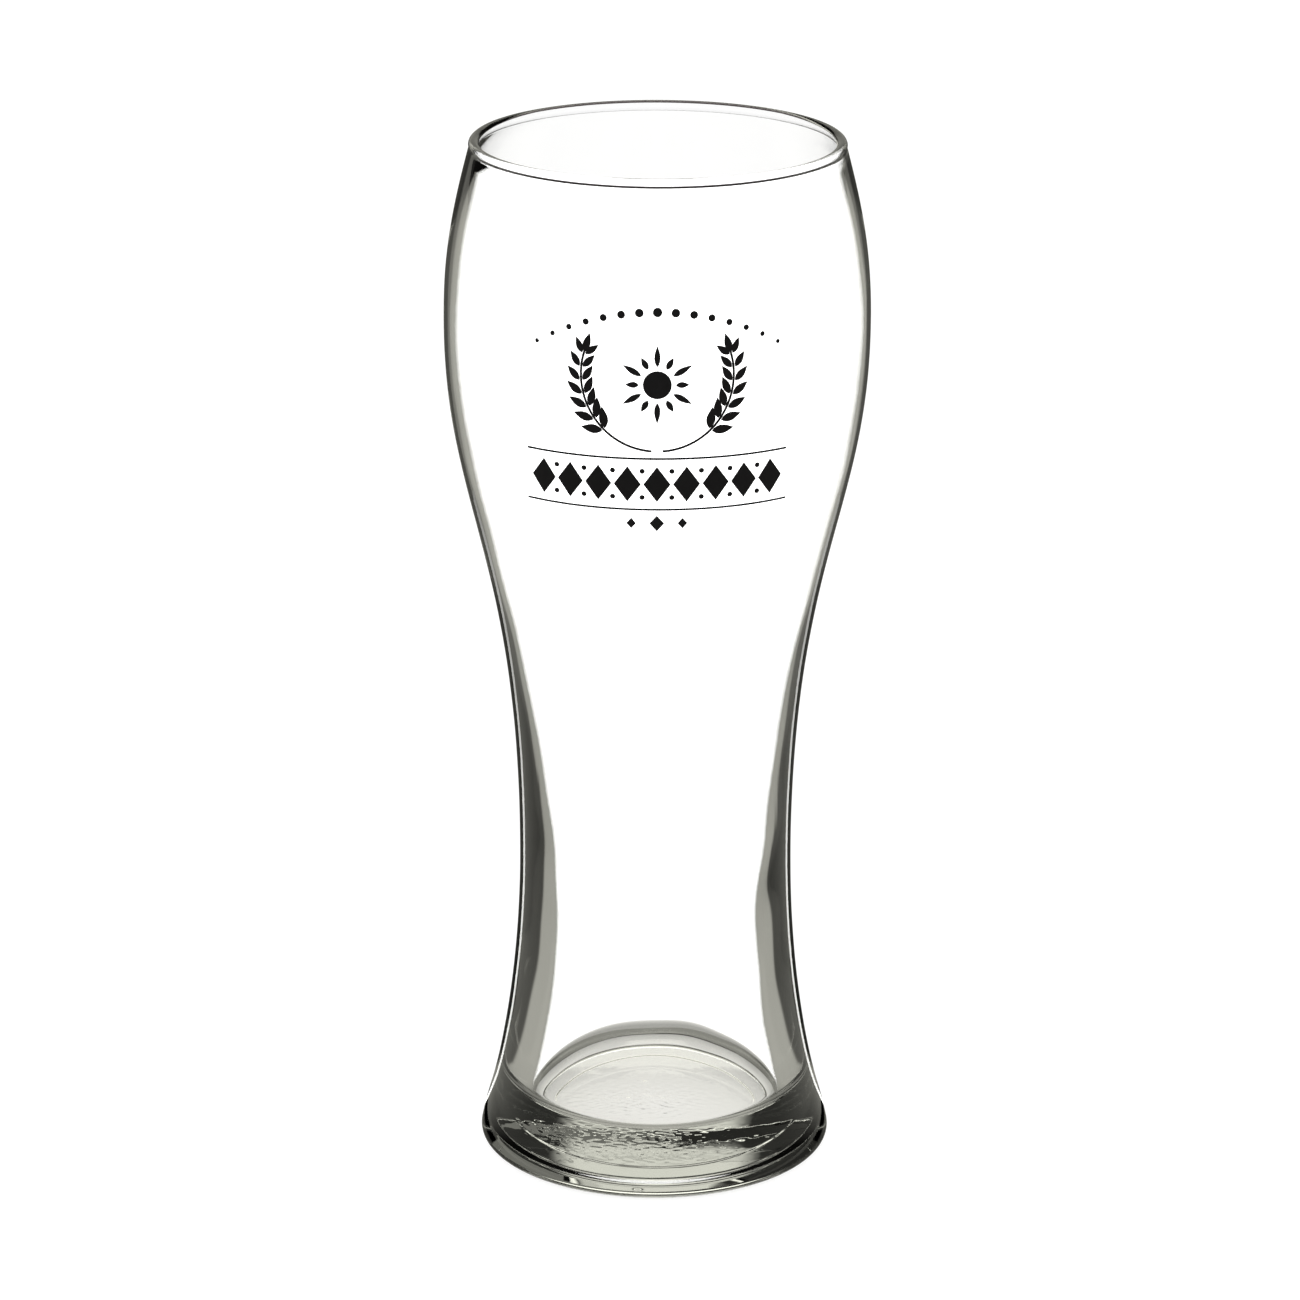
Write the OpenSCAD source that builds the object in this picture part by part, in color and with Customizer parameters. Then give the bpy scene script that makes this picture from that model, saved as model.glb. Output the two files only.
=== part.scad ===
// Tall waisted wheat beer glass: one vessel of clear glass with a printed
// decoration of black enamel on its front.
// Millimetres. +Z is up, the foot stands on z = 0, the axis is the Z axis
// and the print faces -Y.

/* [Outline] */
// Height from the table to the top of the rim
glass_h = 222; // [205:1:240]
// Outer diameter of the rounded rim
rim_d = 78.1; // [75:0.1:81]
// Outer diameter of the bowl where it is widest
bulge_d = 89; // [86:0.5:92]
// Outer diameter of the waist
waist_d = 58.5; // [56:0.5:61]
// Outer diameter of the foot
foot_d = 76; // [73:0.5:79]
// Height of the waist as a share of the height
waist_at = 0.30; // [0.28:0.01:0.32]
// Height of the widest place as a share of the height
bulge_at = 0.825; // [0.81:0.005:0.84]

/* [Wall] */
// Wall thickness just below the rim
wall_neck = 1.7; // [1.5:0.1:1.9]
// Wall thickness in the bowl
wall_bowl = 2.0; // [1.8:0.1:2.4]
// Wall thickness at the waist
wall_waist = 5.8; // [5.2:0.1:6.8]
// Wall thickness just above the floor
wall_foot = 8.6; // [7.8:0.1:9.2]
// Thickness of the rounded rim bead
bead_d = 2.2; // [2:0.1:2.6]

/* [Base] */
// Height of the inside floor over the table
floor_z = 11; // [9:0.5:14]
// Rise of the inside floor from its edge to its middle
floor_crown = 0.4; // [0.1:0.1:1]
// Rounding between the inside floor and the wall
floor_round = 3; // [2:0.25:4]
// Rounding of the foot's lower edge
edge_round = 1.8; // [1.4:0.1:2.2]
// Inner diameter of the flat ring that stands on the table
bearing_in_d = 58; // [54:0.5:62]
// Depth of the hollow under the base, at its edge
punt_edge = 0.9; // [0.6:0.1:1.2]
// Further rise of that hollow towards its middle
punt_crown = 0.9; // [0.3:0.1:1.2]
// Diameter of the round line that the mould's bottom plate leaves
plate_line_d = 44; // [38:1:48]

/* [Print] */
// Thickness of the enamel
ink_t = 0.12; // [0.1:0.02:0.2]
// Height of the print's middle over the table
print_z = 174.5; // [170:0.5:178]
// Number of grains on each side of a wheat ear
grains = 7; // [5:1:9]
// Number of lozenges in the bold band
lozenges = 9; // [5:2:11]
// Number of dots in the arch
arch_dots = 15; // [9:2:19]
// Number of rays of the sun
sun_rays = 12; // [8:2:16]
// Width of the thin rules
rule_w = 0.45; // [0.4:0.05:0.8]

/* [Hidden] */
$fn = 96;

// ---------------------------------------------------------------- outline

rim_r = rim_d / 2;
bulge_r = bulge_d / 2;
waist_r = waist_d / 2;
foot_r = foot_d / 2;
bead_r = bead_d / 2;
waist_z = glass_h * waist_at;
bulge_z = glass_h * bulge_at;

edge_turn = 10;                       // foot edge runs this far past upright
edge_top_z = edge_round * (1 + sin(edge_turn));
neck_low_z = glass_h - 2.6;           // where the wall starts to swell into the bead

// Cubic curve from a to d with its handles at b and c, as n stations. Points
// are [height, radius] for the outside and [height, thickness] for the wall.
function bend(a, b, c, d, n) = [for (i = [1:n]) let (t = i / n)
  pow(1 - t, 3) * a + 3 * t * pow(1 - t, 2) * b + 3 * t * t * (1 - t) * c + pow(t, 3) * d];

// The outside is four such curves. They run upright at the waist and at the
// widest place. Handles below the waist are in millimetres, those above it
// are shares of the curve's own height.
foot_top = [edge_top_z, foot_r - edge_round * (1 - cos(edge_turn))];
flare = [0.21 * waist_z, waist_r + 0.65 * (foot_r - waist_r)];
flare_lean = 0.24;                    // loss of radius for each mm of height there
waist = [waist_z, waist_r];
bulge = [bulge_z, bulge_r];
neck = [glass_h - 2.3, rim_r + 0.1];
bowl_rise = [bulge_z - waist_z, 0];
neck_rise = [neck[0] - bulge_z, 0];
neck_lean = 0.27;                     // inward lean just below the rim
outside = concat(
  [foot_top],
  bend(foot_top, foot_top + 4 * [1, -tan(edge_turn)], flare - 4 * [1, -flare_lean], flare, 3),
  bend(flare, flare + 14 * [1, -flare_lean], waist - [20, 0], waist, 6),
  bend(waist, waist + 0.57 * bowl_rise, bulge - 0.34 * bowl_rise, bulge, 10),
  bend(bulge, bulge + 0.32 * neck_rise,
       neck - 0.45 * neck_rise[0] * [1, -neck_lean], neck, 6));

// The wall thins from the floor over the waist into the even wall of the
// bowl. It swells a little below the rim. Handles are in millimetres.
waist_fall = 0.1;                     // loss of thickness for each mm of height at the waist
wall_swell = 0.46;
wall_a = [floor_z, wall_foot];
wall_b = [waist_z, wall_waist];
wall_c = [0.595 * glass_h, wall_bowl];
wall_d = [0.775 * glass_h, wall_bowl];
wall_e = [0.92 * glass_h, wall_bowl + wall_swell];
wall_f = [neck_low_z, wall_neck];
wall = concat(
  [wall_a],
  bend(wall_a, wall_a + [24, 0], wall_b - 16 * [1, -waist_fall], wall_b, 6),
  bend(wall_b, wall_b + 20 * [1, -waist_fall], wall_c - [22, 0], wall_c, 8),
  [for (i = [1:3]) wall_c + (wall_d - wall_c) * i / 3],
  bend(wall_d, wall_d + [12, 0], wall_e - [7, 0], wall_e, 5),
  bend(wall_e, wall_e + [6, 0], wall_f + [-5.7, 0.57], wall_f, 4));

// Natural cubic spline through stations [position, value].
function gap(p, i) = p[i + 1][0] - p[i][0];
function grade(p, i) = (p[i + 1][1] - p[i][1]) / gap(p, i);
function sweep(p, i = 1, done = [[0, 0]]) = i > len(p) - 2 ? done :
  let (w = 2 * (gap(p, i - 1) + gap(p, i)) - gap(p, i - 1) * done[i - 1][0])
  sweep(p, i + 1, concat(done, [[gap(p, i) / w,
    (6 * (grade(p, i) - grade(p, i - 1)) - gap(p, i - 1) * done[i - 1][1]) / w]]));
function unwind(s, i, m) = i < 0 ? m : unwind(s, i - 1, concat([s[i][1] - s[i][0] * m[0]], m));
function bends(p) = unwind(sweep(p), len(p) - 2, [0]);
function span(p, x, i = 0) = (i >= len(p) - 2 || x <= p[i + 1][0]) ? i : span(p, x, i + 1);
function curve(p, m, x) = let (i = span(p, x), h = gap(p, i), a = p[i + 1][0] - x, b = x - p[i][0])
  (m[i] * pow(a, 3) + m[i + 1] * pow(b, 3)) / (6 * h)
  + (p[i][1] / h - m[i] * h / 6) * a + (p[i + 1][1] / h - m[i + 1] * h / 6) * b;

outside_bends = bends(outside);
wall_bends = bends(wall);
function r_out(z) = curve(outside, outside_bends, z);
function r_in(z) = r_out(z) - curve(wall, wall_bends, z);

// Outside of the body, from the foot edge to just below the rim bead.
body_steps = 72;
neck_z = outside[len(outside) - 1][0];
function body_z(i) = edge_top_z + (neck_z - edge_top_z) * i / body_steps;
body_pts = [for (i = [0:body_steps]) [r_out(body_z(i)), body_z(i)]];

// Rim bead, with a faint groove below it outside and a short swell inside.
neck_out = -14;                       // where the bead starts outside
neck_in = 248;                        // where it ends inside
neck_groove = 0.25;
bead_c = [rim_r - bead_r, glass_h - bead_r];
function on_bead(a) = bead_c + bead_r * [cos(a), sin(a)];
function bow(a, b, c, t) = pow(1 - t, 2) * a + 2 * t * (1 - t) * b + t * t * c;
neck_pts = let (a = [r_out(neck_z), neck_z], c = on_bead(neck_out),
                b = c + neck_groove * [sin(neck_out), -cos(neck_out)])
  [for (i = [1:5]) bow(a, b, c, i / 6)];
bead_pts = [for (i = [0:23]) on_bead(neck_out + (neck_in - neck_out) * i / 23)];
swell_pts = let (a = on_bead(neck_in), c = [r_in(neck_low_z), neck_low_z],
                 m = (r_in(neck_low_z) - r_in(neck_low_z - 0.1)) / 0.1,
                 d = [-sin(neck_in), cos(neck_in)],
                 k = (c[0] + m * (a[1] - c[1]) - a[0]) / (d[0] - m * d[1]))
  [for (i = [1:5]) bow(a, a + k * d, c, i / 6)];

// Inside, from the rim down to the floor.
inner_top_z = neck_low_z;
in_slope = (r_in(floor_z + floor_round + 0.5) - r_in(floor_z + floor_round)) / 0.5;
in_turn = atan(-in_slope);
corner_z = floor_z + floor_round * (1 + sin(in_turn));
corner_c = [r_in(corner_z) - floor_round * cos(in_turn), floor_z + floor_round];
inner_steps = 66;
inner_pts = [for (i = [0:inner_steps])
  let (z = inner_top_z + (corner_z - inner_top_z) * i / inner_steps) [r_in(z), z]];
corner_pts = [for (i = [1:8]) let (a = in_turn - (90 + in_turn) * i / 8)
  corner_c + floor_round * [cos(a), sin(a)]];
floor_pts = [for (i = [1:6]) let (t = 1 - i / 6)
  [corner_c[0] * t, floor_z + floor_crown * (1 - t * t)]];

// Underside: flat bearing ring, a small step up into the hollow, the line
// of the mould's bottom plate and a shallow rise to the middle.
bearing_r = bearing_in_d / 2;
plate_r = plate_line_d / 2;
punt_start = bearing_r - 2.2;
function punt_z(r) = punt_edge + punt_crown * (1 - pow(r / punt_start, 2));
under_pts = concat(
  [for (i = [0:3]) [plate_r * i / 4, punt_z(plate_r * i / 4) + 0.25]],
  [[plate_r - 0.25, punt_z(plate_r) + 0.25], [plate_r, punt_z(plate_r)]],
  [for (i = [1:4]) let (t = i / 5, r = plate_r + (punt_start - plate_r) * t) [r, punt_z(r)]],
  [for (i = [0:4]) let (t = i / 4) [punt_start + 2.2 * t, punt_edge * (0.5 + 0.5 * cos(180 * t))]]);
edge_c = [foot_r - edge_round, edge_round];
edge_pts = [for (a = [-90:20:-10]) edge_c + edge_round * [cos(a), sin(a)]];

module glass_profile() {
  polygon(concat(under_pts, edge_pts, body_pts, neck_pts, bead_pts,
                 swell_pts, inner_pts, corner_pts, floor_pts));
}

// Raised dots that the mould leaves in the hollow under the base.
mark_r = 12;
module mould_dots() {
  for (a = [-36:18:36])
    rotate([0, 0, a])
      translate([0, mark_r, punt_z(mark_r) - 0.1])
        cylinder(h = 1, r = 0.75, $fn = 24);
}

module glass() {
  color([0.86, 0.9, 0.88, 0.35])
    union() {
      rotate_extrude($fn = 180) glass_profile();
      mould_dots();
    }
}

// ------------------------------------------------------------------ print
// Every motif is drawn flat, as [along the wall, up], and is then laid on
// the bowl: lengths along the wall keep their size.

lay_r = r_out(print_z);
function lay(p) = [lay_r * sin(p[0] / lay_r * 180 / PI), print_z + p[1]];
module laid(pts) { polygon([for (p = pts) lay(p)]); }

// Thin layer on the outside of the bowl, with the same faces as the wall.
function body_i(z) = (z - edge_top_z) / (neck_z - edge_top_z) * body_steps;
film_lo = floor(body_i(print_z - 26));
film_hi = ceil(body_i(print_z + 26));
module film_layer() {
  rotate_extrude($fn = 180)
    polygon(concat(
      [for (i = [film_lo:film_hi]) body_pts[i]],
      [for (i = [film_hi:-1:film_lo]) body_pts[i] + [ink_t, 0]]));
}
module printed() {
  color([0.02, 0.02, 0.02])
    intersection() {
      film_layer();
      rotate([90, 0, 0]) linear_extrude(height = 60) children();
    }
}

function turned(p, a) = [p[0] * cos(a) - p[1] * sin(a), p[0] * sin(a) + p[1] * cos(a)];
// Pointed oval: length l, width w, its foot at c, leaning by a from upright.
function leaf(c, l, w, a) = concat(
  [for (i = [0:6]) let (t = i / 6) c + turned([w / 2 * sin(180 * pow(t, 0.8)), l * t], a)],
  [for (i = [5:-1:1]) let (t = i / 6) c + turned([-w / 2 * sin(180 * pow(t, 0.8)), l * t], a)]);
// Strip of a given width along a path.
function heading(q, i) = let (d = q[min(i + 1, len(q) - 1)] - q[max(i - 1, 0)]) d / norm(d);
function strip(q, w) = concat(
  [for (i = [0:len(q) - 1]) let (d = heading(q, i)) q[i] + w / 2 * [-d[1], d[0]]],
  [for (i = [len(q) - 1:-1:0]) let (d = heading(q, i)) q[i] - w / 2 * [-d[1], d[0]]]);
function disc(c, r, n = 20) = [for (i = [0:n - 1]) c + r * [cos(360 * i / n), sin(360 * i / n)]];

// Arch of dots that grow towards the middle.
module print_arch() {
  printed() for (i = [0:arch_dots - 1]) {
    u = 2 * i / (arch_dots - 1) - 1;
    laid(disc([25.5 * u, 21.8 - 7.5 * u * u], 0.95 - 0.5 * abs(u)));
  }
}

// One wheat ear on a bent stalk, on the right when side = 1.
stalk_r = 15.6;
function stalk(a) = [stalk_r * sin(a), 8.6 - stalk_r * cos(a)];
module wheat(side) {
  stalk_pts = [for (a = [4:8:108]) stalk(a)];
  printed() scale_side(side) {
    laid(strip(stalk_pts, 0.5));
    for (i = [0:grains - 1]) {
      a = 44 + 62 * i / (grains - 1);
      g = 1 - 0.25 * i / (grains - 1);
      laid(leaf(stalk(a) + 0.35 * [sin(a), -cos(a)], 4.6 * g, 1.9 * g, a - 90 - 38));
      laid(leaf(stalk(a) - 0.35 * [sin(a), -cos(a)], 4.6 * g, 1.9 * g, a - 90 + 38));
    }
    laid(leaf(stalk(107), 4.2, 1.6, 17));
  }
}
module scale_side(side) {
  if (side > 0) children(); else mirror([1, 0, 0]) children();
}
module print_wheat_left() { wheat(-1); }
module print_wheat_right() { wheat(1); }

// Sun in the wreath.
sun_c = [0, 7];
module print_sun() {
  printed() {
    laid(disc(sun_c, 2.9, 36));
    for (i = [0:sun_rays - 1]) {
      a = 360 * i / sun_rays;
      laid(leaf(sun_c + 3.7 * [-sin(a), cos(a)], i % 2 == 0 ? 4.4 : 2.8, 1.25, a));
    }
  }
}

// Bold band of lozenges between two thin level rules.
band_z = -14.2;
loz_h = 7.8;
module print_rule_upper() {
  printed() laid(strip([for (x = [-28:2:28]) [x, band_z + 5.6]], rule_w));
}
module print_rule_lower() {
  printed() laid(strip([for (x = [-28:2:28]) [x, band_z - 5.6]], rule_w));
}
loz_pitch = 54 / lozenges;
module print_lozenges() {
  printed() {
    for (i = [0:lozenges - 1]) {
      x = loz_pitch * (i - (lozenges - 1) / 2);
      laid([[x - 0.46 * loz_pitch, band_z], [x, band_z - loz_h / 2],
            [x + 0.46 * loz_pitch, band_z], [x, band_z + loz_h / 2]]);
    }
    for (i = [0:lozenges - 2]) for (k = [-1, 1]) {
      x = loz_pitch * (i - (lozenges - 2) / 2);
      laid(disc([x, band_z + 0.37 * loz_h * k], 0.55, 16));
    }
  }
}

// Three small diamonds below.
module print_diamonds() {
  printed() for (k = [-1:1]) {
    w = k == 0 ? 1.5 : 1.0;
    c = [5.2 * k, -22.9];
    laid([c + [-w, 0], c + [0, -1.2 * w], c + [w, 0], c + [0, 1.2 * w]]);
  }
}

glass();
print_arch();
print_wheat_left();
print_wheat_right();
print_sun();
print_rule_upper();
print_lozenges();
print_rule_lower();
print_diamonds();
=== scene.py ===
"""Tall waisted wheat beer glass: clear pressed and blown glass with a black enamel print.

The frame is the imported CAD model, +Z up, metres, foot on z = 0, print towards -Y.
All shapes below are worked out in millimetres and scaled once, at the end.
"""

import math

import bpy
import bmesh
import numpy as np
from mathutils import Matrix, Vector
from mathutils.geometry import tessellate_polygon


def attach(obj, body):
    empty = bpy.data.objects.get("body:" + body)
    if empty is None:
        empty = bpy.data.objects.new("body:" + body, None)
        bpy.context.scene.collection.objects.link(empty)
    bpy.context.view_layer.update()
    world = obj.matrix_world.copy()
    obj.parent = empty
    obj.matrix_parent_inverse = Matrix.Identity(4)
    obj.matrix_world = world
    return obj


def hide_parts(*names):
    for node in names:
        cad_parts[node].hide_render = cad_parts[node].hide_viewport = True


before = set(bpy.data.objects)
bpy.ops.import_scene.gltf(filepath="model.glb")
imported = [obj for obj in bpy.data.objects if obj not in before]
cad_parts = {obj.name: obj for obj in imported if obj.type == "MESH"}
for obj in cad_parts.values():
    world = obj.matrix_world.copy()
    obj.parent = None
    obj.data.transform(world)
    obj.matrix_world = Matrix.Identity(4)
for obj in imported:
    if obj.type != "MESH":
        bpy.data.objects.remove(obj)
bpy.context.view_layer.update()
MM = 0.001

# --------------------------------------------------------------------- shape
GLASS_H, RIM_D, BULGE_D, WAIST_D, FOOT_D = 222.0, 78.1, 89.0, 58.5, 76.0
WAIST_AT, BULGE_AT = 0.30, 0.825
WALL_NECK, WALL_BOWL, WALL_WAIST, WALL_FOOT, BEAD_D = 1.7, 2.0, 5.8, 8.6, 2.2
FLOOR_Z, FLOOR_CROWN, FLOOR_ROUND, EDGE_ROUND = 11.0, 0.4, 3.0, 1.8
BEARING_R, PUNT_EDGE, PUNT_CROWN, PLATE_R = 29.0, 0.9, 0.9, 22.0
PRINT_Z = 174.5

rim_r, bulge_r, waist_r, foot_r, bead_r = RIM_D / 2, BULGE_D / 2, WAIST_D / 2, FOOT_D / 2, BEAD_D / 2
waist_z, bulge_z = GLASS_H * WAIST_AT, GLASS_H * BULGE_AT
edge_turn = math.radians(10)
edge_top_z = EDGE_ROUND * (1 + math.sin(edge_turn))
NECK_OUT, NECK_IN, NECK_GROOVE, NECK_DROP = -14, 248, 0.25, 2.6
NECK_LEAN, WAIST_FALL, WALL_SWELL = 0.27, 0.1, 0.46
neck_low_z = GLASS_H - NECK_DROP


def bend(a, b, c, d, n):
    """Stations of a cubic curve from a to d with its handles at b and c."""
    return [list((1 - t) ** 3 * a + 3 * t * (1 - t) ** 2 * b + 3 * t * t * (1 - t) * c + t ** 3 * d)
            for t in (i / n for i in range(1, n + 1))]


def at(z, value):
    return np.array([z, value], float)


foot_top = at(edge_top_z, foot_r - EDGE_ROUND * (1 - math.cos(edge_turn)))
waist, bulge, neck = at(waist_z, waist_r), at(bulge_z, bulge_r), at(GLASS_H - 2.3, rim_r + 0.1)
flare, FLARE_LEAN = at(0.21 * waist_z, waist_r + 0.65 * (foot_r - waist_r)), 0.24
bowl_rise, neck_rise = at(bulge_z - waist_z, 0), at(neck[0] - bulge_z, 0)
outside = [list(foot_top)]
outside += bend(foot_top, foot_top + 4 * at(1, -math.tan(edge_turn)), flare - 4 * at(1, -FLARE_LEAN), flare, 3)
outside += bend(flare, flare + 14 * at(1, -FLARE_LEAN), waist - at(20, 0), waist, 6)
outside += bend(waist, waist + 0.57 * bowl_rise, bulge - 0.34 * bowl_rise, bulge, 10)
outside += bend(bulge, bulge + 0.32 * neck_rise, neck - 0.45 * neck_rise[0] * at(1, -NECK_LEAN), neck, 6)

wall_a, wall_b, wall_c = at(FLOOR_Z, WALL_FOOT), at(waist_z, WALL_WAIST), at(0.595 * GLASS_H, WALL_BOWL)
wall_d, wall_e, wall_f = at(0.775 * GLASS_H, WALL_BOWL), at(0.92 * GLASS_H, WALL_BOWL + WALL_SWELL), at(neck_low_z, WALL_NECK)
wall = [list(wall_a)]
wall += bend(wall_a, wall_a + at(24, 0), wall_b - 16 * at(1, -WAIST_FALL), wall_b, 6)
wall += bend(wall_b, wall_b + 20 * at(1, -WAIST_FALL), wall_c - at(22, 0), wall_c, 8)
wall += [list(wall_c + (wall_d - wall_c) * i / 3) for i in (1, 2, 3)]
wall += bend(wall_d, wall_d + at(12, 0), wall_e - at(7, 0), wall_e, 5)
wall += bend(wall_e, wall_e + at(6, 0), wall_f + at(-5.7, 0.57), wall_f, 4)


class Spline:
    """Natural cubic spline through stations [position, value]."""

    def __init__(self, stations):
        self.x, self.y = np.array(stations, float).T
        n, h = len(self.x), np.diff(self.x)
        a, b = np.eye(n), np.zeros(n)
        for i in range(1, n - 1):
            a[i, i - 1:i + 2] = h[i - 1], 2 * (h[i - 1] + h[i]), h[i]
            b[i] = 6 * ((self.y[i + 1] - self.y[i]) / h[i] - (self.y[i] - self.y[i - 1]) / h[i - 1])
        self.m, self.h = np.linalg.solve(a, b), h

    def __call__(self, z):
        z = np.asarray(z, float)
        i = np.clip(np.searchsorted(self.x, z) - 1, 0, len(self.x) - 2)
        u, t, h = self.x[i + 1] - z, z - self.x[i], self.h[i]
        return ((self.m[i] * u ** 3 + self.m[i + 1] * t ** 3) / (6 * h)
                + (self.y[i] / h - self.m[i] * h / 6) * u + (self.y[i + 1] / h - self.m[i + 1] * h / 6) * t)


r_out = Spline(outside)
wall_t = Spline(wall)


def r_in(z):
    return r_out(z) - wall_t(z)


def punt_z(r):
    return PUNT_EDGE + PUNT_CROWN * (1 - (r / (BEARING_R - 2.2)) ** 2)


def glass_rings():
    """The outline as rings (radius, height, zone), from the middle of the underside round to the middle of the inside floor."""
    rings = []
    for r in np.linspace(0, PLATE_R - 0.85, 58):
        rings.append((r, punt_z(r) + 0.15, "under"))
    for t in np.linspace(0, 1, 6):
        r = PLATE_R - 0.7 + 0.7 * t
        rings.append((r, punt_z(r) + 0.15 * (0.5 + 0.5 * math.cos(math.pi * t)), "under"))
    for r in np.linspace(PLATE_R + 0.4, BEARING_R - 2.2, 9):
        rings.append((r, punt_z(r), "under"))
    for t in np.linspace(0, 1, 7)[1:]:
        rings.append((BEARING_R - 2.2 + 2.2 * t, PUNT_EDGE * (0.5 + 0.5 * math.cos(math.pi * t)), "bearing"))
    for r in np.linspace(BEARING_R, foot_r - EDGE_ROUND, 9)[1:]:
        rings.append((r, 0.0, "bearing"))
    for a in np.linspace(-90, 10, 14)[1:-1]:
        rings.append((foot_r - EDGE_ROUND + EDGE_ROUND * math.cos(math.radians(a)),
                      EDGE_ROUND + EDGE_ROUND * math.sin(math.radians(a)), "edge"))
    neck_z = outside[-1][0]
    for z in np.linspace(edge_top_z, neck_z, 104):
        rings.append((float(r_out(z)), z, "outer"))
    bead_c = (rim_r - bead_r, GLASS_H - bead_r)

    def on_bead(a):
        return bead_c[0] + bead_r * math.cos(math.radians(a)), bead_c[1] + bead_r * math.sin(math.radians(a))

    p0, p2 = (float(r_out(neck_z)), neck_z), on_bead(NECK_OUT)
    p1 = (p2[0] + NECK_GROOVE * math.sin(math.radians(NECK_OUT)), p2[1] - NECK_GROOVE * math.cos(math.radians(NECK_OUT)))
    for t in np.linspace(0, 1, 8)[1:]:
        rings.append(tuple((1 - t) ** 2 * u + 2 * t * (1 - t) * v + t * t * w for u, v, w in zip(p0, p1, p2)) + ("bead",))
    for a in np.linspace(NECK_OUT, NECK_IN, 34)[1:]:
        rings.append(on_bead(a) + ("bead",))
    q0 = on_bead(NECK_IN)
    q2 = (float(r_in(neck_low_z)), neck_low_z)
    m = float(r_in(neck_low_z) - r_in(neck_low_z - 0.1)) / 0.1
    d = (-math.sin(math.radians(NECK_IN)), math.cos(math.radians(NECK_IN)))
    # where the tangent of the bead meets the line of the inside wall
    k = (q2[0] + m * (q0[1] - q2[1]) - q0[0]) / (d[0] - m * d[1])
    q1 = (q0[0] + k * d[0], q0[1] + k * d[1])
    for t in np.linspace(0, 1, 9)[1:-1]:
        rings.append(tuple((1 - t) ** 2 * u + 2 * t * (1 - t) * v + t * t * w for u, v, w in zip(q0, q1, q2)) + ("bead",))
    top = neck_low_z
    z0 = FLOOR_Z + FLOOR_ROUND
    turn = math.atan(-float(r_in(z0 + 0.5) - r_in(z0)) / 0.5)
    corner_z = z0 + FLOOR_ROUND * math.sin(turn)
    for z in np.linspace(top, corner_z, 94):
        rings.append((float(r_in(z)), z, "inner"))
    cr = float(r_in(corner_z)) - FLOOR_ROUND * math.cos(turn)
    for a in np.linspace(turn, -math.pi / 2, 12)[1:]:
        rings.append((cr + FLOOR_ROUND * math.cos(a), z0 + FLOOR_ROUND * math.sin(a), "corner"))
    for t in list(np.linspace(1, 0.18, 17)[1:]) + list(np.linspace(0.18, 0, 20)[1:]):
        rings.append((cr * t, FLOOR_Z + FLOOR_CROWN * (1 - t * t), "floor"))
    return rings


def waves(th, z, seed):
    """Slow unevenness of blown glass: a few long waves round and along the wall, from -1 to 1."""
    rng = np.random.default_rng(seed)
    s = 0.0
    for k, turns in enumerate((1, 2, 2, 3, 3, 4, 5, 6, 7, 9)):
        length = rng.uniform(28, 95) / (1 + 0.15 * turns)
        s = s + rng.uniform(0.5, 1) * np.sin(turns * th + rng.uniform(0, 6.28)) * np.sin(2 * np.pi * z / length + rng.uniform(0, 6.28))
    return s / 3.2


def hammered(x, y, seed, size, count=46):
    """Fine irregular wrinkles, as a chilled mould leaves them: waves of about one size in all directions, from -1 to 1."""
    rng = np.random.default_rng(seed)
    s = 0.0
    for k in range(count):
        a = rng.uniform(0, 2 * np.pi)
        q = 2 * np.pi / (size * rng.uniform(0.7, 1.8))
        s = s + np.sin(q * (x * np.cos(a) + y * np.sin(a)) + rng.uniform(0, 6.28))
    return s / math.sqrt(count) / 1.4


# How far the hollow sits off the middle of the outside, towards +X, by height.
offset_x = Spline([(0, 0.1), (11, 0.12), (22, 0.15), (35, 0.12), (48, 0.28), (60, 0.38), (68, 0.5), (77, 0.38), (90, 0.2),
                   (104, 0.15), (115, 0.2), (127, 0.22), (140, 0.3), (160, 0.3), (200, 0.26), (214, 0.12), (222, 0)])


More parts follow.
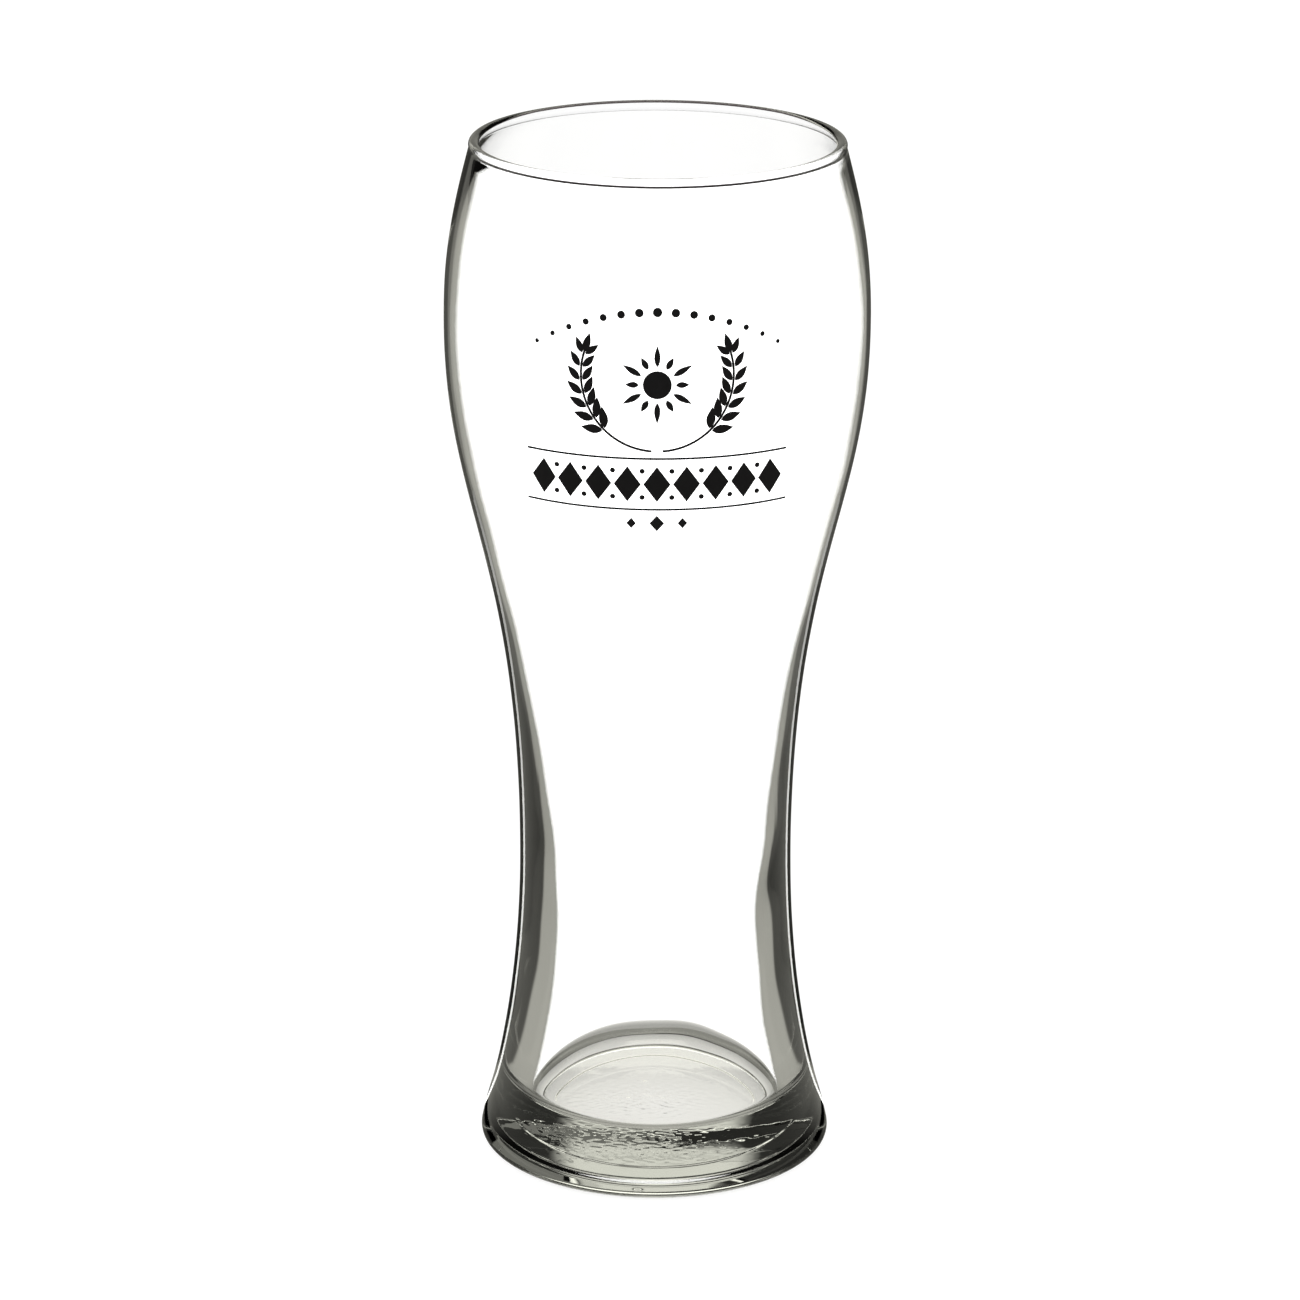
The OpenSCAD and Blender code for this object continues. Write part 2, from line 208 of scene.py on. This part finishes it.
def make_glass():
    rings = glass_rings()
    n = 256
    th = np.arange(n) * 2 * np.pi / n - np.pi / 2
    verts, faces, starts = [], [], []
    for r, z, zone in rings:
        if r < 1e-6:
            starts.append((len(verts), 1))
            verts.append((0, 0, z))
            continue
        rr, zz = np.full(n, r), np.full(n, z)
        sx = 0.0
        if zone in ("inner", "corner", "floor"):
            sx = float(offset_x(z)) * min(1.0, r / 20)
        if zone == "inner":
            fade = max(0.0, min(1.0, (GLASS_H - 4 - z) / 20, (z - FLOOR_Z - 6) / 22))
            rr = rr + fade * (0.008 + 0.009 * float(wall_t(z))) * waves(th, z, 4)
        elif zone == "under":
            x, y = r * np.cos(th), r * np.sin(th)
            fade = np.exp(-(((x + 6) / 15) ** 4 + ((y + 8) / 11) ** 4)) * min(1.0, max(0.0, (BEARING_R - 2.4 - r) / 4))
            zz = zz + (0.004 + 0.026 * fade) * hammered(x, y, 11, 1.7)
        elif zone == "floor":
            x, y = r * np.cos(th), r * np.sin(th)
            zz = zz + min(1.0, (22 - r) / 6) * 0.004 * hammered(x, y, 5, 6.0) - 0.08 * np.exp(-((x + 2.3) ** 2 + (y - 0.6) ** 2) / 0.2)
        elif zone == "outer":
            fade = max(0.0, min(1.0, (GLASS_H - 8 - z) / 20, (z - 3) / 10))
            rr = rr + fade * (-0.032 + 0.018 * waves(th, z, 9))
        starts.append((len(verts), n))
        verts += list(zip(rr * np.cos(th) + sx, rr * np.sin(th), zz))
    for (a, na), (b, nb) in zip(starts[:-1], starts[1:]):
        for k in range(n):
            k2 = (k + 1) % n
            if na == 1:
                faces.append((a, b + k2, b + k))
            elif nb == 1:
                faces.append((a + k, a + k2, b))
            else:
                faces.append((a + k, a + k2, b + k2, b + k))
    mesh = bpy.data.meshes.new("glass_vessel")
    mesh.from_pydata([(x * MM, y * MM, z * MM) for x, y, z in verts], [], faces)
    mesh.validate()
    bm = bmesh.new()
    bm.from_mesh(mesh)
    bmesh.ops.recalc_face_normals(bm, faces=bm.faces)
    bm.to_mesh(mesh)
    bm.free()
    for p in mesh.polygons:
        p.use_smooth = True
    ob = bpy.data.objects.new("glass_vessel", mesh)
    bpy.context.scene.collection.objects.link(ob)
    return ob


# --------------------------------------------------------------------- print
def turned(x, y, a):
    return x * math.cos(a) - y * math.sin(a), x * math.sin(a) + y * math.cos(a)


def leaf(c, length, width, deg, n=12):
    pts = []
    for i in list(range(n + 1)):
        t = i / n
        x, y = turned(width / 2 * math.sin(math.pi * t ** 0.8), length * t, math.radians(deg))
        pts.append((c[0] + x, c[1] + y))
    for i in range(n - 1, 0, -1):
        t = i / n
        x, y = turned(-width / 2 * math.sin(math.pi * t ** 0.8), length * t, math.radians(deg))
        pts.append((c[0] + x, c[1] + y))
    return pts


def strip(q, w):
    q = np.array(q, float)
    d = np.gradient(q, axis=0)
    d /= np.linalg.norm(d, axis=1)[:, None]
    nrm = np.stack([-d[:, 1], d[:, 0]], 1) * w / 2
    return [tuple(p) for p in q + nrm] + [tuple(p) for p in (q - nrm)[::-1]]


def disc(c, r, n=28):
    return [(c[0] + r * math.cos(2 * math.pi * i / n), c[1] + r * math.sin(2 * math.pi * i / n)) for i in range(n)]


STALK_R = 15.6


def stalk(deg):
    a = math.radians(deg)
    return STALK_R * math.sin(a), 8.6 - STALK_R * math.cos(a)


def motif_arch():
    out = []
    for i in range(15):
        u = 2 * i / 14 - 1
        out.append(disc((25.5 * u, 21.8 - 7.5 * u * u), 0.95 - 0.5 * abs(u)))
    return out


def motif_wheat(side):
    out = [strip([stalk(a) for a in range(4, 109, 4)], 0.5)]
    for i in range(7):
        a = 44 + 62 * i / 6
        g = 1 - 0.25 * i / 6
        sx, sy = stalk(a)
        dx, dy = 0.35 * math.sin(math.radians(a)), -0.35 * math.cos(math.radians(a))
        out.append(leaf((sx + dx, sy + dy), 4.6 * g, 1.9 * g, a - 90 - 38))
        out.append(leaf((sx - dx, sy - dy), 4.6 * g, 1.9 * g, a - 90 + 38))
    out.append(leaf(stalk(107), 4.2, 1.6, 17))
    return [[(side * x, y) for x, y in poly] for poly in out]


def motif_sun():
    out = [disc((0, 7), 2.9, 48)]
    for i in range(12):
        a = math.radians(30 * i)
        out.append(leaf((-3.7 * math.sin(a), 7 + 3.7 * math.cos(a)), 4.4 if i % 2 == 0 else 2.8, 1.25, 30 * i))
    return out


BAND_Z = -14.2


def motif_rule(dz):
    return [strip([(x, BAND_Z + dz) for x in np.linspace(-28, 28, 41)], 0.45)]


def motif_lozenges():
    out, pitch, h = [], 6.0, 7.8
    for i in range(9):
        x = pitch * (i - 4)
        out.append([(x - 0.46 * pitch, BAND_Z), (x, BAND_Z - h / 2), (x + 0.46 * pitch, BAND_Z), (x, BAND_Z + h / 2)])
    for i in range(8):
        for k in (-1, 1):
            out.append(disc((pitch * (i - 3.5), BAND_Z + 0.37 * h * k), 0.55, 20))
    return out


def motif_diamonds():
    out = []
    for k in (-1, 0, 1):
        w = 1.5 if k == 0 else 1.0
        x, z = 5.2 * k, -22.9
        out.append([(x - w, z), (x, z - 1.2 * w), (x + w, z), (x, z + 1.2 * w)])
    return out


LAY_R = float(r_out(PRINT_Z))


def make_film(name, node, polys, proud=0.045, sunk=0.012, cell=1.1):
    """A thin layer of enamel in the shape of flat outlines, laid on the bowl, following its curve in both directions."""
    bm = bmesh.new()
    for poly in polys:
        vs = [bm.verts.new((x, y, 0)) for x, y in poly]
        for a, b, c in tessellate_polygon([[Vector((x, y, 0)) for x, y in poly]]):
            bm.faces.new((vs[a], vs[b], vs[c]))
    xs = [v.co.x for v in bm.verts]
    ys = [v.co.y for v in bm.verts]
    for lo, hi, axis in ((min(xs), max(xs), 0), (min(ys), max(ys), 1)):
        for c in np.arange(math.floor(lo / cell) + 1, hi / cell) * cell:
            p = Vector((c, 0, 0)) if axis == 0 else Vector((0, c, 0))
            nrm = Vector((1, 0, 0)) if axis == 0 else Vector((0, 1, 0))
            bmesh.ops.bisect_plane(bm, geom=bm.verts[:] + bm.edges[:] + bm.faces[:], plane_co=p, plane_no=nrm, dist=1e-5)
    bmesh.ops.triangulate(bm, faces=bm.faces[:])
    for f in bm.faces:
        if f.normal.z < 0:
            f.normal_flip()
    flat = bm.faces[:]
    rim = [e for e in bm.edges if e.is_boundary]
    low = {v: v.co.copy() for v in bm.verts}
    twin = {v: bm.verts.new(v.co) for v in list(low)}

    def lay(co, off):
        a = co.x / LAY_R
        z = PRINT_Z + co.y
        r = float(r_out(z)) + off
        return Vector((r * math.sin(math.asin(max(-1, min(1, LAY_R * math.sin(a) / float(r_out(z)))))),
                       -r * math.cos(math.asin(max(-1, min(1, LAY_R * math.sin(a) / float(r_out(z)))))), z)) * MM

    for f in flat:
        bm.faces.new([twin[v] for v in reversed(f.verts)])
    for e in rim:
        f = e.link_faces[0]
        a, b = e.verts
        loop = [l for l in f.loops if l.edge == e][0]
        if loop.vert != a:
            a, b = b, a
        bm.faces.new([b, a, twin[a], twin[b]])
    for v, co in low.items():
        v.co = lay(co, proud)
        twin[v].co = lay(co, -sunk)
    bmesh.ops.recalc_face_normals(bm, faces=bm.faces[:])
    mesh = bpy.data.meshes.new(name)
    bm.to_mesh(mesh)
    bm.free()
    ob = bpy.data.objects.new(name, mesh)
    bpy.context.scene.collection.objects.link(ob)
    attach(ob, "root")
    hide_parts(node)
    return ob


# ----------------------------------------------------------------- materials
def new_material(name):
    m = bpy.data.materials.new(name)
    m.use_nodes = True
    nt = m.node_tree
    nt.nodes.clear()
    out = nt.nodes.new("ShaderNodeOutputMaterial")
    return m, nt, out


def glass_material():
    m, nt, out = new_material("clear_glass")
    b = nt.nodes.new("ShaderNodeBsdfPrincipled")
    b.inputs["Base Color"].default_value = (1, 1, 1, 1)
    b.inputs["Transmission Weight"].default_value = 1.0
    b.inputs["IOR"].default_value = 1.52
    tc = nt.nodes.new("ShaderNodeTexCoord")
    noise = nt.nodes.new("ShaderNodeTexNoise")
    noise.inputs["Scale"].default_value = 60
    noise.inputs["Detail"].default_value = 2
    ramp = nt.nodes.new("ShaderNodeMapRange")
    ramp.inputs["From Min"].default_value = 0.45
    ramp.inputs["From Max"].default_value = 0.75
    ramp.inputs["To Min"].default_value = 0.0
    ramp.inputs["To Max"].default_value = 0.02
    nt.links.new(tc.outputs["Object"], noise.inputs["Vector"])
    nt.links.new(noise.outputs["Fac"], ramp.inputs["Value"])
    nt.links.new(ramp.outputs["Result"], b.inputs["Roughness"])
    vol = nt.nodes.new("ShaderNodeVolumeAbsorption")
    vol.inputs["Color"].default_value = (0.80, 0.86, 0.78, 1)
    vol.inputs["Density"].default_value = 4.0
    nt.links.new(b.outputs["BSDF"], out.inputs["Surface"])
    nt.links.new(vol.outputs["Volume"], out.inputs["Volume"])
    return m


def enamel_material():
    m, nt, out = new_material("black_enamel")
    b = nt.nodes.new("ShaderNodeBsdfPrincipled")
    tc = nt.nodes.new("ShaderNodeTexCoord")
    noise = nt.nodes.new("ShaderNodeTexNoise")
    noise.inputs["Scale"].default_value = 900
    noise.inputs["Detail"].default_value = 4
    ramp = nt.nodes.new("ShaderNodeValToRGB")
    ramp.color_ramp.elements[0].color = (0.0035, 0.0026, 0.003, 1)
    ramp.color_ramp.elements[1].color = (0.009, 0.0072, 0.008, 1)
    rough = nt.nodes.new("ShaderNodeMapRange")
    rough.inputs["To Min"].default_value = 0.32
    rough.inputs["To Max"].default_value = 0.5
    bump = nt.nodes.new("ShaderNodeBump")
    bump.inputs["Strength"].default_value = 0.15
    bump.inputs["Distance"].default_value = 0.00003
    nt.links.new(tc.outputs["Object"], noise.inputs["Vector"])
    nt.links.new(noise.outputs["Fac"], ramp.inputs["Fac"])
    nt.links.new(noise.outputs["Fac"], rough.inputs["Value"])
    nt.links.new(noise.outputs["Fac"], bump.inputs["Height"])
    nt.links.new(ramp.outputs["Color"], b.inputs["Base Color"])
    nt.links.new(rough.outputs["Result"], b.inputs["Roughness"])
    nt.links.new(bump.outputs["Normal"], b.inputs["Normal"])
    nt.links.new(b.outputs["BSDF"], out.inputs["Surface"])
    return m


glass = make_glass()
glass.data.materials.append(glass_material())
glass.visible_shadow = False
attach(glass, "root")
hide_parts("glass")

enamel = enamel_material()
for name, node, polys in (
        ("print_arch_film", "print_arch", motif_arch()),
        ("print_wheat_left_film", "print_wheat_left", motif_wheat(-1)),
        ("print_wheat_right_film", "print_wheat_right", motif_wheat(1)),
        ("print_sun_film", "print_sun", motif_sun()),
        ("print_rule_upper_film", "print_rule_upper", motif_rule(5.6)),
        ("print_lozenges_film", "print_lozenges", motif_lozenges()),
        ("print_rule_lower_film", "print_rule_lower", motif_rule(-5.6)),
        ("print_diamonds_film", "print_diamonds", motif_diamonds())):
    film = make_film(name, node, polys)
    film.data.materials.append(enamel)

# --------------------------------------------------------------------- stage
# An overexposed white sweep, as behind the photographed glass. The stage paints light and shade by the kind of light
# that meets it:
# the floor and world are painted brighter white for light that passed through both walls, and painted dark for light
# that the glass has turned back inside its wall. A few panels, seen by such light only, paint the dark edges, bright
# patches and shade on the glass.
# The first value is the painted brighter white that light through the glass sees on floor and world; the second tints
# the painted dark shade.
PAINTED_WHITE = 2.2
OLIVE = (1.0, 0.99, 0.88)


def emission(nt, color, strength):
    e = nt.nodes.new("ShaderNodeEmission")
    e.inputs["Color"].default_value = (*color, 1)
    e.inputs["Strength"].default_value = strength
    return e


def compare(nt, socket, op, value):
    m = nt.nodes.new("ShaderNodeMath")
    m.operation = op
    m.inputs[1].default_value = value
    nt.links.new(socket, m.inputs[0])
    return m.outputs[0]


def both(nt, a, b):
    m = nt.nodes.new("ShaderNodeMath")
    m.operation = "MULTIPLY"
    nt.links.new(a, m.inputs[0])
    nt.links.new(b, m.inputs[1])
    return m.outputs[0]


def seen_by(nt, who):
    """turned: light reflected at least once. mirror: light reflected before it entered the glass.
    through: light that passed both walls. rim: light bent twice and never reflected. bent: light only bent."""
    lp = nt.nodes.new("ShaderNodeLightPath")
    if who == "turned":
        return compare(nt, lp.outputs["Glossy Depth"], "GREATER_THAN", 0.5)
    if who == "through":
        return compare(nt, lp.outputs["Transmission Depth"], "GREATER_THAN", 2.5)
    if who == "mirror":
        return both(nt, compare(nt, lp.outputs["Glossy Depth"], "GREATER_THAN", 0.5),
                    compare(nt, lp.outputs["Transmission Depth"], "LESS_THAN", 0.5))
    straight = compare(nt, lp.outputs["Glossy Depth"], "LESS_THAN", 0.5)
    if who == "rim":
        two = both(nt, compare(nt, lp.outputs["Transmission Depth"], "GREATER_THAN", 1.5),
                   compare(nt, lp.outputs["Transmission Depth"], "LESS_THAN", 2.5))
        return both(nt, straight, two)
    return both(nt, straight, compare(nt, lp.outputs["Transmission Depth"], "GREATER_THAN", 1.5))


def mixed(nt, fac, a, b):
    m = nt.nodes.new("ShaderNodeMixShader")
    nt.links.new(fac, m.inputs["Fac"])
    nt.links.new(a, m.inputs[1])
    nt.links.new(b, m.inputs[2])
    return m.outputs[0]


# Pale floor, evenly bright to the camera. Seen through both walls of the glass it is painted brighter white, and to
# reflected light it is painted dark olive shade.
floor_mat, nt, out = new_material("pale_floor")
diff = nt.nodes.new("ShaderNodeBsdfDiffuse")
diff.inputs["Color"].default_value = (0.22, 0.22, 0.22, 1)
add = nt.nodes.new("ShaderNodeAddShader")
glow = mixed(nt, seen_by(nt, "through"), emission(nt, (1, 1, 0.995), 0.86).outputs[0], emission(nt, (1, 1, 0.995), PAINTED_WHITE).outputs[0])
nt.links.new(diff.outputs[0], add.inputs[0])
nt.links.new(glow, add.inputs[1])
nt.links.new(mixed(nt, seen_by(nt, "turned"), add.outputs[0], emission(nt, OLIVE, 0.075).outputs[0]), out.inputs["Surface"])
bpy.ops.mesh.primitive_plane_add(size=30, location=(0, 0, -0.00005))
floor = bpy.context.object
floor.name = "floor"
floor.data.materials.append(floor_mat)

world = bpy.data.worlds.new("studio")
bpy.context.scene.world = world
world.use_nodes = True
nt = world.node_tree
bg = nt.nodes["Background"]
bg.inputs["Color"].default_value = (1, 1, 1, 1)
bg.inputs["Strength"].default_value = 1.04


def background(color, strength):
    b = nt.nodes.new("ShaderNodeBackground")
    b.inputs["Color"].default_value = (*color, 1)
    b.inputs["Strength"].default_value = strength
    return b.outputs[0]


# The world is evenly white to the camera; it is painted brighter white for light that passed through both walls, and
# painted dark olive for reflected light.
straight = mixed(nt, seen_by(nt, "through"), bg.outputs[0], background((1, 1, 1), PAINTED_WHITE))
nt.links.new(mixed(nt, seen_by(nt, "turned"), straight, background(OLIVE, 0.022)), nt.nodes["World Output"].inputs["Surface"])

# Camera, where the photograph was taken from.
cam_data = bpy.data.cameras.new("camera")
cam = bpy.data.objects.new("camera", cam_data)
bpy.context.scene.collection.objects.link(cam)
cam_data.sensor_width = 36
cam_data.lens = 4710 / 1300 * 36
cam_data.clip_start, cam_data.clip_end = 0.01, 100
cam.location = (-0.00129, -0.9521, 0.4293)
cam.rotation_mode = "QUATERNION"
cam.rotation_quaternion = (Matrix.Rotation(math.radians(90 - 18.488), 3, "X") @ Matrix.Rotation(math.radians(0.186), 3, "Z")).to_quaternion()
bpy.context.scene.camera = cam

# The panels are fixed in the room and stay there whatever the camera does.
def panel_material(name, who, level=None, color=(1, 1, 1)):
    """A painted level of light or shade, seen only by the chosen kind of light: one level all over, or where level is
    None the level stored on the panel's points.
    """
    m, nt, out = new_material(name)
    tr = nt.nodes.new("ShaderNodeBsdfTransparent")
    em = emission(nt, color, 1.0 if level is None else level)
    if level is None:
        at = nt.nodes.new("ShaderNodeAttribute")
        at.attribute_name = "level"
        nt.links.new(at.outputs["Fac"], em.inputs["Strength"])
    nt.links.new(mixed(nt, seen_by(nt, who), tr.outputs[0], em.outputs[0]), out.inputs["Surface"])
    return m


def panel(name, verts, faces, mat, level=None):
    me = bpy.data.meshes.new(name)
    me.from_pydata(verts, [], faces)
    if level is not None:
        me.attributes.new("level", "FLOAT", "POINT").data.foreach_set("value", level)
    ob = bpy.data.objects.new(name, me)
    bpy.context.scene.collection.objects.link(ob)
    ob.data.materials.append(mat)
    ob.visible_camera = False
    ob.visible_diffuse = False
    ob.visible_shadow = False
    return ob


def grid_faces(na, nb):
    return [(i * nb + j, (i + 1) * nb + j, (i + 1) * nb + j + 1, i * nb + j + 1) for i in range(na - 1) for j in range(nb - 1)]


def sector(name, a0, a1, r0, r1, mat, z=0.0003, level=None, na=49, nb=13):
    """Flat panel on the floor between two directions, in degrees from straight behind the glass."""
    verts, values = [], []
    for i in range(na):
        for j in range(nb):
            r, a = r0 * (r1 / r0) ** (j / (nb - 1)), a0 + (a1 - a0) * i / (na - 1)
            verts.append((r * math.sin(math.radians(a)), r * math.cos(math.radians(a)), z))
            values.append(level(a, r) if level else 0.0)
    return panel(name, verts, grid_faces(na, nb), mat, values if level else None)


def rise(x, a, b):
    """0 up to a, 1 from b, smooth between."""
    t = min(1.0, max(0.0, (x - a) / (b - a)))
    return t * t * (3 - 2 * t)


# Painted light and shade of the dome as reflected light sees it: a few bright patches (high, bar, side, low) on a dark
# ground, by direction a and height e in degrees.
def sky_level(a, e):
    high = 1.3 * rise(e, 42, 47) * rise(-abs(a), -62, -50)
    bar = 0.72 * rise(e, 20, 24) * rise(-e, -36, -33) * rise(-abs(a), -27, -17)
    side = 0.55 * rise(e, 33, 35) * rise(-e, -46, -43) * rise(a, -7, -3) * rise(-a, -28, -22)
    low = 0.5 * rise(e, 1, 4) * rise(-e, -24, -21) * rise(a, -27, -18) * rise(-a, -22, -14)
    return max(0.022, high, bar, side, low)


# Painted shade of the floor as reflected light sees it: dark, with a painted bright patch straight behind the glass and
# painted grey further round.
def floor_level(a, r):
    a = abs(a)
    edge = 49 - 9.5 * rise(r, 0.115, 0.15) - 11 * rise(math.log(r), math.log(0.12), math.log(0.55))
    painted_bright_patch = 1.3 * rise(-a, -8.5, -5.5) * rise(r, 0.05, 0.07)
    grey = 0.40 * rise(a, edge - 2.5, edge + 2.5) * rise(-a, -105, -70)
    return max(0.075 - 0.04 * rise(-r, -0.2, -0.1), painted_bright_patch, grey)


def under_level(a, r):
    return 0.30 - 0.05 * rise(abs(a), 42, 62) + 0.17 * rise(abs(a), 105, 125)


def near_level(a, r):
    inner = (0.16 - 0.14 * rise(a, -1, 2)) if abs(a) < 40 else 0.16
    bright = 1.5 * rise(-abs(a), -60, -40)
    return inner + (bright - inner) * rise(r, 0.0408, 0.0416) - (bright - 0.36) * rise(r, 0.0455, 0.047)


# Panels seen only by reflected light, in painted levels of light and shade: a dome round the glass, the floor behind
# and beside it, and the table under and round the foot.
turned = panel_material("turned", "turned", None, OLIVE)
verts, values = [], []
for i in range(91):
    for j in range(44):
        a, e = -90 + 2 * i, 1 + 2 * j
        ra, re = math.radians(a), math.radians(e)
        verts.append((3 * math.cos(re) * math.sin(ra), 3 * math.cos(re) * math.cos(ra), 3 * math.sin(re)))
        values.append(sky_level(a, e))
panel("turned_sky", verts, grid_faces(91, 44), turned, values)
sector("turned_floor", -112, 112, 0.05, 3.0, turned, 0.0003, floor_level, 113, 41)
# painted light and shade of the table under the foot and close round it, seen only by reflected light
sector("under_foot", -180, 180, 0.001, 0.0362, turned, -0.00003, under_level, 121, 9)
sector("near_foot", -180, 180, 0.0362, 0.05, turned, 0.0005, near_level, 241, 25)
# painted dark shade seen only by light bent twice and never reflected, as through the rim: a ring on the floor and a
# band standing round and above the rim
rim_floor = panel_material("rim_floor", "rim", 0.075, (1.0, 0.82, 0.86))
sector("rim_floor", -180, 180, 0.05, 0.40, rim_floor, 0.0006)
rim_card = panel_material("rim_card", "rim", 0.055, (1.0, 0.82, 0.86))
ring = [(0.041 * math.sin(2 * math.pi * i / 96), 0.041 * math.cos(2 * math.pi * i / 96), z) for z in (0.2255, 0.30) for i in range(96)]
panel("rim_card", ring, [(i, (i + 1) % 96, (i + 1) % 96 + 96, i + 96) for i in range(96)], rim_card)
# two emission strips behind the glass, upright and on along the floor, seen only in reflection: a painted reflection
# for the fine bright line down each side
painted_strip_highlight = panel_material("painted_strip_highlight", "mirror", None, (1, 1, 0.96))
for side in (-1, 1):
    verts, values = [], []
    for d in (0.008, 0.05, 0.10, 0.15):
        for k in (-1, 1):
            verts.append((side * (0.031 + 0.505 * d) + k * 0.055 * d * 0.863, 0.863 * d - side * k * 0.055 * d * 0.505, 0.0008))
            values.append(2.6)
    for z, level in ((0.02, 2.2), (0.05, 1.3), (0.085, 0.6)):
        for k in (-1, 1):
            verts.append(verts[6 + (k + 1) // 2][:2] + (z,))
            values.append(level)
    panel("strip_left" if side < 0 else "strip_right", verts, [(2 * i, 2 * i + 1, 2 * i + 3, 2 * i + 2) for i in range(6)], painted_strip_highlight, values)

# Shade under the glass, as the light sees it that comes through the floor of the glass.
shade, nt, out = new_material("shade")
tc = nt.nodes.new("ShaderNodeTexCoord")
ln = nt.nodes.new("ShaderNodeVectorMath")
ln.operation = "LENGTH"
nt.links.new(tc.outputs["Object"], ln.inputs[0])
mr = nt.nodes.new("ShaderNodeMapRange")
mr.inputs["From Min"].default_value = 0.0
mr.inputs["From Max"].default_value = 0.062
nt.links.new(ln.outputs["Value"], mr.inputs["Value"])
cr = nt.nodes.new("ShaderNodeValToRGB")
cr.color_ramp.elements[0].position, cr.color_ramp.elements[0].color = 0.0, (1.0, 0.985, 0.955, 1)
cr.color_ramp.elements[1].position, cr.color_ramp.elements[1].color = 1.0, (PAINTED_WHITE, PAINTED_WHITE, PAINTED_WHITE, 1)
for pos, v in ((0.45, 0.88), (0.56, 0.6), (0.70, 0.45), (0.80, 0.7)):
    e = cr.color_ramp.elements.new(pos)
    e.color = (v, v * 0.99, v * 0.93, 1)
nt.links.new(mr.outputs["Result"], cr.inputs["Fac"])
em = nt.nodes.new("ShaderNodeEmission")
nt.links.new(cr.outputs["Color"], em.inputs["Color"])
tr = nt.nodes.new("ShaderNodeBsdfTransparent")
nt.links.new(mixed(nt, seen_by(nt, "bent"), tr.outputs[0], em.outputs[0]), out.inputs["Surface"])
sector("shade", -180, 180, 0.00001, 0.062, shade, 0.0001)

bpy.context.scene.view_settings.view_transform = "Standard"
